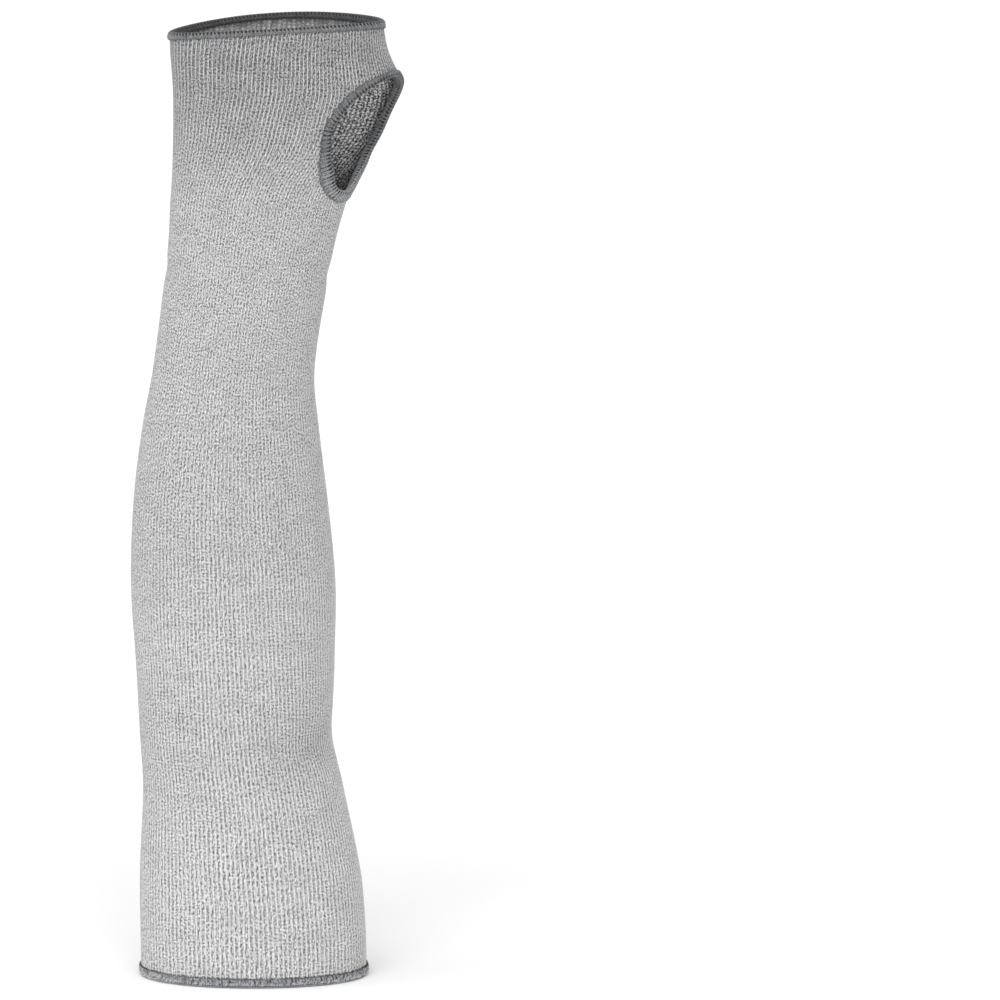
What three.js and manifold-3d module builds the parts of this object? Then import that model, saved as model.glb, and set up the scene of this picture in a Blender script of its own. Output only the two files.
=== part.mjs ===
// Knitted sleeve protector with a thumb hole, in the form that an arm gives it.
// Millimetres. +Z runs from the upper-arm opening up to the hand opening, -Y is the front and +X is
// the thumb's side. The origin is the centre of the upper-arm opening, where the arm goes in.

import * as THREE from 'three';
import { LoftGeometry } from 'three/addons/geometries/LoftGeometry.js';
import { mergeVertices } from 'three/addons/utils/BufferGeometryUtils.js';
import Module from 'manifold-3d';

// Driving sizes
const LENGTH = 455; // edge to edge along its two sides, for an 18 inch sleeve
const WALL = 1.4; // one layer of 13 gauge knit
const HAND_SEAM_REACH = 2.9; // how far the overlock threads reach into the knit from the hand edge
const HAND_SEAM_MIDDLE_REACH = 1.6; // the same at the middle of the front and the back
const ARM_SEAM_REACH = 3.4; // the same from the upper-arm edge
const SEAM_PILE = 0.8; // thickness of the overlock threads on each face
const SEAM_GAP = 0.35; // room between the knit and the overlock threads
const SEAM_ROUND = 0.45; // rounding of the threads where they turn over the edge
const SEAM_FOLD = SEAM_GAP + SEAM_PILE; // how far the threads stand past a cut edge

// The hand edge leans up to the thumb's side, and its front and back stand higher than its two ends
const HAND_EDGE_LEAN = 2.9;
const HAND_EDGE_FRONT_RISE = 1.5;
const HAND_EDGE_BACK_RISE = 2.3;
const HAND_EDGE_RAMP = 24; // height over which the knit takes up that lean

// Mesh steps
const COLUMNS = 52; // facets round the sleeve
const ARM_STEP = 18; // row height up to the wrist
const HAND_STEP = 6; // row height from the wrist to the hand edge
const HAND_START = 345;
const HOLE_STEPS = 48; // facets round the thumb hole

// Plug that cuts the thumb hole
const PLUG_CLEAR = 4; // how far it stands square off both faces of the knit
const PLUG_INSIDE = 20; // x of its flat end in the hand
const PLUG_OUTSIDE = 95; // x of its flat end past the thumb's side

// Outer face at rising heights: left and right are the ends seen from the front, front and back the
// ends seen from the side, and mid is the depth at which the section is widest. Beside the thumb hole
// right is the end that the knit would reach if it weren't open there.
const SECTIONS = [
  { z: 0, left: -53.5, right: 53.8, front: -44.5, back: 47, mid: -2 }, // upper-arm edge
  { z: 22, left: -53.9, right: 53.4, front: -44.5, back: 47, mid: -2 },
  { z: 50, left: -54.1, right: 50.9, front: -44, back: 47, mid: -2 },
  { z: 90, left: -52.5, right: 42.8, front: -42.5, back: 47, mid: -1 },
  { z: 114, left: -53.9, right: 38.2, front: -41, back: 48, mid: 0 }, // elbow
  { z: 150, left: -55.8, right: 38.7, front: -40, back: 44, mid: 0 },
  { z: 188, left: -58.1, right: 39.2, front: -38, back: 40, mid: 0 }, // fullest forearm
  { z: 229, left: -56.7, right: 35.4, front: -36, back: 38, mid: 0 },
  { z: 264, left: -52.4, right: 31.2, front: -32, back: 34, mid: 0 },
  { z: 290, left: -47.6, right: 29.3, front: -27.5, back: 30, mid: 0 }, // wrist
  { z: 333, left: -42.0, right: 35.6, front: -25, back: 29.5, mid: 1 },
  { z: 352, left: -40.0, right: 39.2, front: -24.5, back: 30, mid: 1.5 },
  { z: 368, left: -39.2, right: 43.6, front: -24, back: 31, mid: 2 },
  { z: 375, left: -38.8, right: 46.2, front: -23.5, back: 31.5, mid: 2.5 }, // under the thumb hole
  { z: 382, left: -38.3, right: 51.0, front: -23, back: 32, mid: 3 },
  { z: 390, left: -38.0, right: 59.0, front: -22.5, back: 33, mid: 3.5 },
  { z: 402, left: -37.7, right: 69.5, front: -21.5, back: 34, mid: 4 },
  { z: 415, left: -37.6, right: 74.0, front: -20.5, back: 35, mid: 5 },
  { z: 425, left: -37.8, right: 73.5, front: -19.5, back: 35.5, mid: 5 },
  { z: 434, left: -38.4, right: 68.4, front: -19, back: 36, mid: 5 }, // top of the thumb hole
  { z: 443, left: -39.0, right: 64.1, front: -18, back: 35.5, mid: 5 },
  { z: 457, left: -39.3, right: 61.4, front: -16, back: 35, mid: 5 }, // hand edge
];
const SECTION_POWER = 2.1; // 2 is an ellipse, and more is squarer

// Cut edge of the thumb hole, round from its top corner: toward is the way round the sleeve from the
// thumb's side to the front, less than 0 behind it, z is the height, and reach is how far the overlock
// threads reach into the knit, least at the top corner, where the edge rolls in.
const THUMB_HOLE = [
  { toward: 4, z: 432.6, reach: 1.3 }, // top corner
  { toward: -8, z: 427, reach: 3 },
  { toward: -16.6, z: 417, reach: 2.8 },
  { toward: -19.8, z: 405.5, reach: 2.6 }, // back edge
  { toward: -16.8, z: 394, reach: 2.3 },
  { toward: -6.8, z: 383.5, reach: 2.5 },
  { toward: 5, z: 376.3, reach: 3.6 }, // bottom
  { toward: 17, z: 377.8, reach: 3.8 },
  { toward: 29.2, z: 386.4, reach: 3.8 },
  { toward: 40.4, z: 396.9, reach: 3.6 },
  { toward: 45.8, z: 408.5, reach: 3.7 }, // front edge
  { toward: 40, z: 419.4, reach: 3.1 },
  { toward: 24, z: 429, reach: 1.9 },
];

// Soft dents of the knit: around is the share of the way round from the left side through the front,
// wide and tall are their half sizes, and lean is how far they climb for each mm of width.
const DENTS = [
  { z: 113, around: 0.385, deep: 2.8, wide: 26, tall: 11, lean: 0.1 }, // crook of the elbow
  { z: 341, around: 0.03, deep: 0.9, wide: 13, tall: 4.5, lean: 0.2 }, // nicks at the wrist
  { z: 337, around: 0.47, deep: 0.9, wide: 14, tall: 4.5, lean: -0.25 },
];

const KNIT_GREY = 0xb9b9ba;
const THREAD_GREY = 0x6f7376;

const wasm = await Module();
wasm.setup();

// Smooth curve through one column of SECTIONS
function column(name, z) {
  const last = SECTIONS.length - 1;
  const above = SECTIONS.findIndex((row) => row.z > z);
  const i = THREE.MathUtils.clamp((above < 0 ? last : above) - 1, 0, last - 1);
  const slope = (k) => {
    const under = SECTIONS[Math.max(k - 1, 0)];
    const over = SECTIONS[Math.min(k + 1, last)];
    return (over[name] - under[name]) / (over.z - under.z);
  };
  const low = SECTIONS[i];
  const high = SECTIONS[i + 1];
  const rise = high.z - low.z;
  const s = (z - low.z) / rise;
  const ease = s * s * (3 - 2 * s);
  const bend = s * (1 - s) * (slope(i) * (1 - s) - slope(i + 1) * s) * rise;
  return low[name] + (high[name] - low[name]) * ease + bend;
}

// Level section of the outer face, from the left side through the front, the thumb's side and the back
class SleeveSection extends THREE.Curve {
  constructor(z) {
    super();
    this.z = z;
    const left = column('left', z);
    const right = column('right', z);
    this.centre = (left + right) / 2;
    this.halfWidth = (right - left) / 2;
    this.mid = column('mid', z);
    this.frontDepth = this.mid - column('front', z);
    this.backDepth = column('back', z) - this.mid;
  }

  getPoint(t, target = new THREE.Vector3()) {
    const turn = Math.PI * (1 + 2 * t);
    const squared = (x) => Math.sign(x) * Math.abs(x) ** (2 / SECTION_POWER);
    const depth = Math.sin(turn) < 0 ? this.frontDepth : this.backDepth;
    const x = this.centre + this.halfWidth * squared(Math.cos(turn));
    return target.set(x, this.mid + depth * squared(Math.sin(turn)), this.z);
  }

  // Share of the way round at which the thumb's side comes
  thumbSide() {
    const lengths = this.getLengths();
    return lengths[(lengths.length - 1) / 2] / lengths[lengths.length - 1];
  }
}

const sections = new Map();
function sectionAt(z) {
  if (!sections.has(z)) sections.set(z, new SleeveSection(z));
  return sections.get(z);
}

// How much higher the knit stands at a point than its nominal height, near the leaning hand edge
function handEdgeLift(section, point) {
  const across = (point.x - section.centre) / section.halfWidth;
  const forward = Math.max(section.mid - point.y, 0) / section.frontDepth;
  const behind = Math.max(point.y - section.mid, 0) / section.backDepth;
  const rise = HAND_EDGE_FRONT_RISE * forward + HAND_EDGE_BACK_RISE * behind ** 3;
  const share = THREE.MathUtils.smoothstep(section.z, LENGTH - HAND_EDGE_RAMP, LENGTH);
  return share * (HAND_EDGE_LEAN * across + rise);
}

// Outer face with no dents, at a share of the way round and a nominal height
function plainPoint(around, z) {
  const section = sectionAt(z);
  const point = section.getPointAt(THREE.MathUtils.euclideanModulo(around, 1));
  point.z += handEdgeLift(section, point);
  return point;
}

function outwardNormal(around, z) {
  const near = 1e-3;
  const along = plainPoint(around + near, z).sub(plainPoint(around - near, z));
  const up = plainPoint(around, z + 1).sub(plainPoint(around, z - 1));
  return along.cross(up).normalize();
}

function dentDepth(around, z) {
  const girth = sectionAt(z).getLength();
  let depth = 0;
  for (const dent of DENTS) {
    const turn = around - dent.around;
    const across = (turn - Math.round(turn)) * girth;
    const climb = z - dent.z - dent.lean * across;
    depth += dent.deep * Math.exp(-((across / dent.wide) ** 2) - (climb / dent.tall) ** 2);
  }
  return depth;
}

// Point of the knit at a height off its outer face
function knitPoint(around, z, off) {
  const normal = outwardNormal(around, z);
  return plainPoint(around, z).addScaledVector(normal, off - dentDepth(around, z));
}

// Nominal heights of the knit's rows, closer together on the hand than on the arm
function rowHeights() {
  const rows = [];
  const addRows = (from, to, step) => {
    const count = Math.round((to - from) / step);
    for (let i = 0; i < count; i++) rows.push(THREE.MathUtils.lerp(from, to, i / count));
  };
  addRows(SEAM_FOLD, HAND_START, ARM_STEP);
  addRows(HAND_START, LENGTH - SEAM_FOLD, HAND_STEP);
  return [...rows, LENGTH - SEAM_FOLD];
}

// Closed surface through rings of points, with its seams welded
function loft(rings, caps) {
  const { index, attributes } = new LoftGeometry(rings, { capStart: caps, capEnd: caps });
  const geometry = new THREE.BufferGeometry();
  geometry.setIndex(index);
  geometry.setAttribute('position', attributes.position);
  return mergeVertices(geometry, 1e-4);
}

function solidFrom(geometry) {
  const vertProperties = new Float32Array(geometry.attributes.position.array);
  const triVerts = new Uint32Array(geometry.index.array);
  return new wasm.Manifold(new wasm.Mesh({ numProp: 3, vertProperties, triVerts }));
}

function geometryFrom(solid) {
  const { vertProperties, triVerts } = solid.getMesh();
  const geometry = new THREE.BufferGeometry();
  geometry.setAttribute('position', new THREE.BufferAttribute(vertProperties, 3));
  geometry.setIndex(new THREE.BufferAttribute(triVerts, 1));
  return geometry;
}

// Thumb hole's cut edge, laid flat with the way to the front as x and the height as y, and with the
// seam's reach as its third value
const holeEdge = new THREE.CatmullRomCurve3(
  THUMB_HOLE.map((row) => new THREE.Vector3(row.toward, row.z, row.reach)),
  true,
);

// Place on the sleeve at a distance from that edge into the knit
function holePlace(step, inward) {
  const tangent = holeEdge.getTangentAt(step / HOLE_STEPS);
  const flat = holeEdge.getPointAt(step / HOLE_STEPS);
  flat.x += tangent.y * inward;
  flat.y -= tangent.x * inward;
  const section = sectionAt(flat.y);
  return { around: section.thumbSide() - flat.x / section.getLength(), z: flat.y };
}

const holeReach = (step) => holeEdge.getPointAt(step / HOLE_STEPS).z;

// The knit: one seamless tube, open at both ends, with the thumb hole cut through its side
function knitTube() {
  const ring = (z, off) =>
    Array.from({ length: COLUMNS }, (_, i) => knitPoint(i / COLUMNS, z, off));
  const heights = rowHeights();
  const outside = heights.map((z) => ring(z, 0));
  const inside = heights.map((z) => ring(z, -WALL)).reverse();
  return solidFrom(loft([...outside, ...inside, outside[0]], false));
}

// Plug that fills the thumb hole square to the knit, from inside the hand to clear of the thumb's side
function thumbHolePlug() {
  const ring = (off) =>
    Array.from({ length: HOLE_STEPS }, (_, i) => {
      const { around, z } = holePlace(i, 0);
      return knitPoint(around, z, off);
    });
  const flatRing = (x, off) => ring(off).map((point) => point.setX(x));
  const under = -WALL - PLUG_CLEAR;
  const rings = [
    flatRing(PLUG_OUTSIDE, PLUG_CLEAR),
    ring(PLUG_CLEAR),
    ring(under),
    flatRing(PLUG_INSIDE, under),
  ];
  return solidFrom(loft(rings, true));
}

// Section of an overlocked edge: threads on both faces that turn over the cut edge. inward is the
// distance from the edge into the knit, and off the height off its outer face.
function seamProfile(reach) {
  const bottom = -WALL - SEAM_FOLD;
  return [
    { inward: reach, off: SEAM_GAP },
    { inward: reach - SEAM_ROUND, off: SEAM_FOLD },
    { inward: SEAM_ROUND - SEAM_FOLD, off: SEAM_FOLD },
    { inward: -SEAM_FOLD, off: SEAM_FOLD - SEAM_ROUND },
    { inward: -SEAM_FOLD, off: bottom + SEAM_ROUND },
    { inward: SEAM_ROUND - SEAM_FOLD, off: bottom },
    { inward: reach - SEAM_ROUND, off: bottom },
    { inward: reach, off: -WALL - SEAM_GAP },
    { inward: -SEAM_GAP, off: -WALL - SEAM_GAP },
    { inward: -SEAM_GAP, off: SEAM_GAP },
  ];
}

// Closed overlock seam: reach gives its width at each step round, and place the spot on the knit at a
// step and a distance inward
function overlock(steps, reach, place) {
  const rings = Array.from({ length: steps }, (_, i) =>
    seamProfile(reach(i)).map(({ inward, off }) => {
      const { around, z } = place(i, inward);
      return knitPoint(around, z, off);
    }),
  );
  return loft([...rings, rings[0]], false);
}

function armEdgePlace(step, inward) {
  return { around: step / COLUMNS, z: SEAM_FOLD + inward };
}

function handReach(step) {
  const middle = Math.abs(Math.sin((2 * Math.PI * step) / COLUMNS));
  return THREE.MathUtils.lerp(HAND_SEAM_REACH, HAND_SEAM_MIDDLE_REACH, middle);
}

function handEdgePlace(step, inward) {
  return { around: -step / COLUMNS, z: LENGTH - SEAM_FOLD - inward };
}

const knit = new THREE.MeshStandardMaterial({ color: KNIT_GREY, roughness: 0.95, metalness: 0 });
const thread = new THREE.MeshStandardMaterial({ color: THREAD_GREY, roughness: 0.85, metalness: 0 });

function piece(name, geometry, material) {
  const mesh = new THREE.Mesh(geometry, material);
  mesh.name = name;
  return mesh;
}

const sleeve = new THREE.Group();
sleeve.name = 'sleeve_protector';
sleeve.add(
  piece('knit_tube', geometryFrom(knitTube().subtract(thumbHolePlug())), knit),
  piece('arm_edge_overlock', overlock(COLUMNS, () => ARM_SEAM_REACH, armEdgePlace), thread),
  piece('hand_edge_overlock', overlock(COLUMNS, handReach, handEdgePlace), thread),
  piece('thumb_hole_overlock', overlock(HOLE_STEPS, holeReach, holePlace), thread),
);

export default sleeve;
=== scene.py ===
"""Dresses a knitted sleeve protector: heather knit in its stitches, and overlock seams in their threads."""

import math
from collections import namedtuple

import bpy
import numpy as np
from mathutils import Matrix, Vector


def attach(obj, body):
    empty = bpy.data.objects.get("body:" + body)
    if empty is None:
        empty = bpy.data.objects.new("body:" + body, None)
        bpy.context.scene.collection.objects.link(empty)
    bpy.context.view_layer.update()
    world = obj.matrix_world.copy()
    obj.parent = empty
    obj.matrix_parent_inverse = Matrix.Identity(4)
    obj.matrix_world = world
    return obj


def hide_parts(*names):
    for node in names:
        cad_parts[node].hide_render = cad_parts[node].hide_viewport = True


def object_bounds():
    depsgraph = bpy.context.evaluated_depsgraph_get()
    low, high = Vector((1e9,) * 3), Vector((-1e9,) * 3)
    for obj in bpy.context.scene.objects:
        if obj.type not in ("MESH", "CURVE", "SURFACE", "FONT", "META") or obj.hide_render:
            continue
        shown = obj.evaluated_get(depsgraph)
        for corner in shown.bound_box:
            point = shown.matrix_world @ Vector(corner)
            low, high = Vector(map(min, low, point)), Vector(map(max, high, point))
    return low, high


bl_info = {
    "name": "Sleeve protector",
    "version": (1, 0, 0),
    "blender": (4, 5, 0),
    "location": "3D View > Sidebar > Sleeve",
    "description": "Builds a knitted sleeve protector with a thumb hole and overlocked edges",
    "category": "Add Mesh",
}

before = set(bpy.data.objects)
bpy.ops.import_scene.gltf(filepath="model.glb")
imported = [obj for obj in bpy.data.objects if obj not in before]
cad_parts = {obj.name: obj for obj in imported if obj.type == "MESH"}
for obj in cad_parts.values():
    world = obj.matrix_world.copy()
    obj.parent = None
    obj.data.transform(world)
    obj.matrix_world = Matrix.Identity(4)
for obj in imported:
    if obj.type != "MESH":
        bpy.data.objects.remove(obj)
CAD_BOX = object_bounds()

MM = 0.001

# Sizes of the sleeve in mm, the same as the solids have
LENGTH = 455
HAND_EDGE_LEAN = 2.9
HAND_EDGE_FRONT_RISE = 1.5
HAND_EDGE_BACK_RISE = 2.3
HAND_EDGE_RAMP = 24
SECTION_POWER = 2.1
HAND_SEAM_REACH = 2.9
HAND_SEAM_MIDDLE_REACH = 1.6
ARM_SEAM_REACH = 3.4
SEAM_GAP = 0.35
SEAM_PILE = 0.8
SEAM_FOLD = SEAM_GAP + SEAM_PILE

# Patterns of the knit, as shares or numbers of stitches, each 2 mm wide and 1.5 mm tall
FACE_SLANT = 1.8
BACK_SLANT = 0.5
BACK_WIDER = 1.25
SWAY_WALES = 20
PATCH_WALES = 6.25
# Flecks of fibre to each stitch: each is about 0.6 mm long, far coarser than a real fibre, so that it shows
FLECKS_ACROSS = 3.2
FLECKS_ALONG = 2.8
# Sides of a thread's section
THREAD_SIDES = 8

# Outer face at rising heights, in mm
Section = namedtuple("Section", "height left right front back middle")
SECTIONS = [
    Section(0, -53.5, 53.8, -44.5, 47, -2),
    Section(22, -53.9, 53.4, -44.5, 47, -2),
    Section(50, -54.1, 50.9, -44, 47, -2),
    Section(90, -52.5, 42.8, -42.5, 47, -1),
    Section(114, -53.9, 38.2, -41, 48, 0),
    Section(150, -55.8, 38.7, -40, 44, 0),
    Section(188, -58.1, 39.2, -38, 40, 0),
    Section(229, -56.7, 35.4, -36, 38, 0),
    Section(264, -52.4, 31.2, -32, 34, 0),
    Section(290, -47.6, 29.3, -27.5, 30, 0),
    Section(333, -42, 35.6, -25, 29.5, 1),
    Section(352, -40, 39.2, -24.5, 30, 1.5),
    Section(368, -39.2, 43.6, -24, 31, 2),
    Section(375, -38.8, 46.2, -23.5, 31.5, 2.5),
    Section(382, -38.3, 51, -23, 32, 3),
    Section(390, -38, 59, -22.5, 33, 3.5),
    Section(402, -37.7, 69.5, -21.5, 34, 4),
    Section(415, -37.6, 74, -20.5, 35, 5),
    Section(425, -37.8, 73.5, -19.5, 35.5, 5),
    Section(434, -38.4, 68.4, -19, 36, 5),
    Section(443, -39, 64.1, -18, 35.5, 5),
    Section(457, -39.3, 61.4, -16, 35, 5),
]

# Cut edge of the thumb hole: the way from the thumb's side to the front, the height, and how far the seam
# reaches into the knit, in mm
HolePoint = namedtuple("HolePoint", "toward height reach")
THUMB_HOLE = [
    HolePoint(4, 432.6, 1.3),
    HolePoint(-8, 427, 3),
    HolePoint(-16.6, 417, 2.8),
    HolePoint(-19.8, 405.5, 2.6),
    HolePoint(-16.8, 394, 2.3),
    HolePoint(-6.8, 383.5, 2.5),
    HolePoint(5, 376.3, 3.6),
    HolePoint(17, 377.8, 3.8),
    HolePoint(29.2, 386.4, 3.8),
    HolePoint(40.4, 396.9, 3.6),
    HolePoint(45.8, 408.5, 3.7),
    HolePoint(40, 419.4, 3.1),
    HolePoint(24, 429, 1.9),
]

# Soft dents: around is the share of the way round, the half sizes and depth are in mm
Dent = namedtuple("Dent", "height around deep wide tall lean")
DENTS = [
    Dent(113, 0.385, 2.8, 26, 11, 0.1),
    Dent(341, 0.03, 0.9, 13, 4.5, 0.2),
    Dent(337, 0.47, 0.9, 14, 4.5, -0.25),
]

# How the knit looks at rising heights, darker towards the hand edge: tone is the share of its full
# lightness, pale is its share of pale fibre, rib is how plainly the painted highlight on one leg of each
# stitch shows as a line, gap is how dark the painted shade in the gaps between stitches is, fleck is how
# plainly single fibres show as specks, and lean is how far the wales have moved to the thumb, as a share of
# the girth.
KnitLook = namedtuple("KnitLook", "height tone pale rib gap fleck lean")
KNIT_LOOKS = [
    KnitLook(0, 0.93, 0.48, 0.5, 0.8, 1.15, 0),
    KnitLook(60, 0.93, 0.48, 0.5, 0.8, 1.15, 0),
    KnitLook(115, 0.86, 0.47, 0.5, 0.8, 1.3, 0),
    KnitLook(165, 0.89, 0.47, 0.47, 0.52, 1.0, 0),
    KnitLook(210, 0.83, 0.46, 0.45, 0.6, 1.3, 0),
    KnitLook(280, 0.82, 0.45, 0.42, 0.55, 1.9, 0),
    KnitLook(350, 0.81, 0.45, 0.45, 0.6, 2.1, 0),
    KnitLook(375, 0.76, 0.43, 0.6, 0.75, 2.2, 0),
    KnitLook(400, 0.63, 0.39, 0.7, 0.9, 2.3, 0),
    KnitLook(412, 0.57, 0.38, 0.7, 0.9, 2.3, 0.003),
    KnitLook(425, 0.53, 0.38, 0.7, 0.9, 2.3, 0.013),
    KnitLook(440, 0.49, 0.38, 0.7, 0.9, 2.3, 0.032),
    KnitLook(457, 0.47, 0.38, 0.7, 0.9, 2.3, 0.048),
]

# The three overlock seams: pitch is the spacing of their turns of thread, slant how far a turn leans along
# the edge, chevron how far it bends aside on its way, and crimp the length of one crimp of its filaments,
# in mm, longer than a real one so that it shows. cover is the width of a turn as a share of the pitch, and
# uneven is how far the turns differ. outer and inner are the lightness of the threads on the two faces, and
# an inner one lower than the outer is painted shade inside the sleeve. needle is the share of it where the
# needle pulls them in, painted shade, and edge the share where they turn over the cut edge, painted light
# that lifts the shaded lower lip of the arm edge.
Seam = namedtuple("Seam", "node pitch slant chevron crimp cover uneven outer inner needle edge")
SEAMS = [
    Seam("arm_edge_overlock", 1.2, 0.3, 1.6, 0.95, 0.85, 0.4, 1.65, 1.3, 0.2, 1.8),
    Seam("hand_edge_overlock", 1.85, 0.9, 0, 0.5, 1, 0, 1.02, 0.42, 0.65, 1),
    Seam("thumb_hole_overlock", 1.8, 0.9, 0, 0.5, 1, 0, 1, 1, 0.6, 1),
]

# Broad soft lights: where each stands from the sleeve, its spread in degrees and its strength on a face
# turned to it.
Lamp = namedtuple("Lamp", "name x y z spread strength")
LAMPS = [
    Lamp("front_light", -0.12, -1, 0.75, 50, 0.5),
    Lamp("left_light", -1, -0.15, 0.5, 60, 0.12),
    Lamp("top_light", 0, 0, 1, 40, 0.1),
]


def linear(code):
    """Turns an sRGB hex colour into the linear colour that Blender works with."""
    shares = [int(code[i : i + 2], 16) / 255 for i in (0, 2, 4)]
    return (*[s / 12.92 if s <= 0.04045 else ((s + 0.055) / 1.055) ** 2.4 for s in shares], 1.0)


class SleeveKnitSettings(bpy.types.PropertyGroup):
    """Sizes and colours of the heather knit."""

    wall: bpy.props.FloatProperty(
        name="Wall", description="Thickness of one layer of knit", default=1.4 * MM, unit="LENGTH"
    )
    wales: bpy.props.IntProperty(
        name="Wales", description="Columns of stitches round the sleeve", default=136, min=40, max=200
    )
    course: bpy.props.FloatProperty(
        name="Course", description="Height of one row of stitches", default=1.5 * MM, unit="LENGTH"
    )
    rib: bpy.props.FloatProperty(
        name="Rib", description="How far a column of stitches stands out", default=0.1 * MM, unit="LENGTH"
    )
    arm_step: bpy.props.FloatProperty(
        name="Arm step", description="Height of a row of faces on the arm", default=3.3 * MM, unit="LENGTH"
    )
    hand_step: bpy.props.FloatProperty(
        name="Hand step", description="Height of a row of faces on the hand", default=1.5 * MM,
        unit="LENGTH",
    )
    # Pale fibres of the heather, and the painted highlight on one leg of each stitch
    pale_fibre_and_highlight: bpy.props.FloatVectorProperty(
        name="Light yarn", description="Pale fibres of the heather", size=4, subtype="COLOR",
        default=linear("eeeeee"), min=0, max=1,
    )
    # Dark fibres of the heather, and the painted shade in the gaps between stitches
    dark_fibre_and_gap_shade: bpy.props.FloatVectorProperty(
        name="Dark yarn", description="Dark flecks and the gaps between stitches", size=4, subtype="COLOR",
        default=linear("4b4b4c"), min=0, max=1,
    )


class SleeveSeamSettings(bpy.types.PropertyGroup):
    """Sizes and colours of the overlock seams."""

    cord: bpy.props.FloatProperty(
        name="Edge cord", description="Thickness of the looped cord along the edge", default=0.55 * MM,
        unit="LENGTH",
    )
    thread: bpy.props.FloatVectorProperty(
        name="Thread", description="Bulked grey thread", size=4, subtype="COLOR",
        default=linear("727375"), min=0, max=1,
    )
    # The deep grey of the painted shade in the gaps between the turns, and the darkest grey in the thread's
    # stipple
    shade: bpy.props.FloatVectorProperty(
        name="Shade", description="Deep grey between the turns", size=4, subtype="COLOR",
        default=linear("3c3e40"), min=0, max=1,
    )


class SleeveStageSettings(bpy.types.PropertyGroup):
    """Floor, light and camera."""

    floor: bpy.props.FloatVectorProperty(
        name="Floor", description="Pale paper floor", size=4, subtype="COLOR",
        default=linear("fefefe"), min=0, max=1,
    )
    camera_distance: bpy.props.FloatProperty(
        name="Camera distance", description="From the camera to the sleeve", default=12, unit="LENGTH"
    )
    camera_height: bpy.props.FloatProperty(
        name="Camera angle", description="How far the camera looks down", default=math.radians(9),
        subtype="ANGLE",
    )
    field: bpy.props.FloatProperty(
        name="Field", description="Width of the view at the sleeve", default=475.7 * MM, unit="LENGTH"
    )
    dim_side: bpy.props.FloatProperty(
        name="Dim side", description="Share of the surround's strength on the thumb's side", default=0.84
    )
    sky: bpy.props.FloatProperty(name="Sky", description="Strength of the white surround", default=0.69)
    light: bpy.props.FloatProperty(name="Light", description="Strength of the soft lights", default=1.0)


# The sleeve's outer face


def column(table, name, heights):
    """Smooth curve through one column of a table with rising heights, at some heights."""
    levels = np.array([row.height for row in table], float)
    values = np.array([getattr(row, name) for row in table], float)
    last = len(table) - 1
    below = np.maximum(np.arange(last + 1) - 1, 0)
    above = np.minimum(np.arange(last + 1) + 1, last)
    slopes = (values[above] - values[below]) / (levels[above] - levels[below])
    i = np.clip(np.searchsorted(levels, heights, side="right") - 1, 0, last - 1)
    rise = levels[i + 1] - levels[i]
    s = (heights - levels[i]) / rise
    bend = s * (1 - s) * (slopes[i] * (1 - s) - slopes[i + 1] * s) * rise
    return values[i] + (values[i + 1] - values[i]) * s * s * (3 - 2 * s) + bend


class SleeveSections:
    """Level sections of the outer face at some heights, one for each height."""

    steps = 720

    def __init__(self, heights):
        self.heights = np.asarray(heights, float)
        left = column(SECTIONS, "left", self.heights)
        right = column(SECTIONS, "right", self.heights)
        self.middle = column(SECTIONS, "middle", self.heights)
        self.front = self.middle - column(SECTIONS, "front", self.heights)
        self.back = column(SECTIONS, "back", self.heights) - self.middle
        self.centre = (left + right) / 2
        self.half_width = (right - left) / 2
        turns = np.linspace(0, 1, self.steps + 1)
        rows = np.arange(len(self.heights))[:, None]
        x, y = self.outline(rows, np.broadcast_to(turns, (len(self.heights), self.steps + 1)))
        lengths = np.hypot(np.diff(x, axis=1), np.diff(y, axis=1)).cumsum(axis=1)
        self.lengths = np.concatenate([np.zeros((len(self.heights), 1)), lengths], axis=1)
        self.girth = self.lengths[:, -1]
        self.thumb_side = self.lengths[:, self.steps // 2] / self.girth

    def outline(self, rows, turns):
        """Points of the sections in those rows, at turns from the left side through the front."""
        angle = math.pi * (1 + 2 * turns)
        cosine, sine = np.cos(angle), np.sin(angle)
        depth = np.where(sine < 0, self.front[rows], self.back[rows])
        power = 2 / SECTION_POWER
        x = self.centre[rows] + self.half_width[rows] * np.sign(cosine) * np.abs(cosine) ** power
        return x, self.middle[rows] + depth * np.sign(sine) * np.abs(sine) ** power

    def points(self, rows, around):
        """Points at a share of the way round, with the lean of the hand edge."""
        turns = np.empty(len(rows))
        shares = np.linspace(0, 1, self.steps + 1)
        for row in np.unique(rows):
            chosen = rows == row
            wanted = (around[chosen] % 1) * self.girth[row]
            turns[chosen] = np.interp(wanted, self.lengths[row], shares)
        x, y = self.outline(rows, turns)
        across = (x - self.centre[rows]) / self.half_width[rows]
        forward = np.maximum(self.middle[rows] - y, 0) / self.front[rows]
        behind = np.maximum(y - self.middle[rows], 0) / self.back[rows]
        ramp = np.clip((self.heights[rows] - LENGTH + HAND_EDGE_RAMP) / HAND_EDGE_RAMP, 0, 1)
        rise = HAND_EDGE_FRONT_RISE * forward + HAND_EDGE_BACK_RISE * behind**3
        lift = ramp * ramp * (3 - 2 * ramp) * (HAND_EDGE_LEAN * across + rise)
        return np.stack([x, y, self.heights[rows] + lift], axis=1)


def plain_points(around, heights):
    """Outer face with no dents, at shares of the way round and nominal heights, in mm."""
    levels, rows = np.unique(heights, return_inverse=True)
    return SleeveSections(levels).points(rows, around)


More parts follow.
